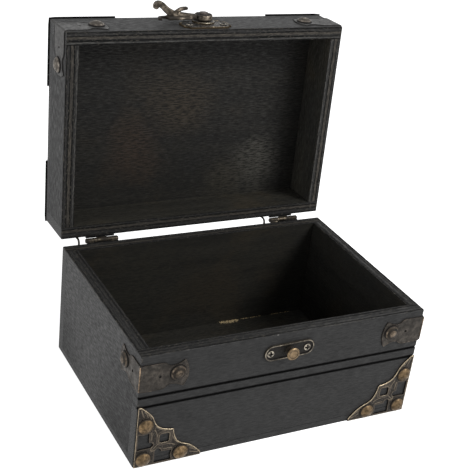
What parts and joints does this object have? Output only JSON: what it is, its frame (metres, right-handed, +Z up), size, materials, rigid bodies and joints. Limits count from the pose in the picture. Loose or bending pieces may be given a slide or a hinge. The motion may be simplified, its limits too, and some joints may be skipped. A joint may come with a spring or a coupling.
{
  "type": "treasure chest box",
  "caption": "Small dark wooden treasure chest box with a hinged lid, a swinging hook latch on a brass knob, grooved front, metal corner straps and pierced corner brackets.",
  "frame": {"origin": "centre of the body's flat underside, on the surface that the box stands on", "axes": "+Z up, -Y towards the front wall with the knob, +X to the right seen from the front"},
  "size_m": [0.2072, 0.1912, 0.2362],
  "materials": {
    "blackened_wood": "satin",
    "dark_bronze": "worn",
    "antique_brass": "aged",
    "screw_steel": "satin"
  },
  "bodies": {
    "body": {"back_wall": "blackened_wood", "body_strap_left": "dark_bronze", "body_strap_nails": "antique_brass", "body_strap_right": "dark_bronze", "bottom_panel": "blackened_wood", "front_bracket_left": "dark_bronze", "front_bracket_nails": "antique_brass", "front_bracket_right": "dark_bronze", "front_wall": "blackened_wood", "hinge_body_leaf_left": "antique_brass", "hinge_body_leaf_right": "antique_brass", "hinge_body_screws": "screw_steel", "hinge_pin_left": "antique_brass", "hinge_pin_right": "antique_brass", "knob": "antique_brass", "knob_plate": "antique_brass", "knob_plate_screws": "screw_steel", "left_wall": "blackened_wood", "right_wall": "blackened_wood"},
    "lid": {"hinge_lid_leaf_left": "antique_brass", "hinge_lid_leaf_right": "antique_brass", "hinge_lid_screws": "screw_steel", "latch_base_plate": "antique_brass", "latch_base_screws": "screw_steel", "latch_rivet": "antique_brass", "lid_back_wall": "blackened_wood", "lid_bracket_back_left": "dark_bronze", "lid_bracket_back_right": "dark_bronze", "lid_bracket_front_left": "dark_bronze", "lid_bracket_front_right": "dark_bronze", "lid_bracket_nails": "antique_brass", "lid_front_wall": "blackened_wood", "lid_left_wall": "blackened_wood", "lid_right_wall": "blackened_wood", "lid_strap_left": "dark_bronze", "lid_strap_nails": "antique_brass", "lid_strap_right": "dark_bronze", "lid_top_panel": "blackened_wood"},
    "hook": {"latch_hook": "antique_brass"}
  },
  "joints": [
    {"name": "lid_hinge", "type": "hinge", "parent": "body", "child": "lid", "pos_m": [0, 0.073, 0.08065], "axis": [1, 0, 0], "range_deg": [0, 92.3]},
    {"name": "hook_pivot", "type": "hinge", "parent": "lid", "child": "hook", "pos_m": [-0.0008, 0.09421, 0.22632], "axis": [0, 0.0401, 0.9992], "range_deg": [-90, 90]}
  ]
}
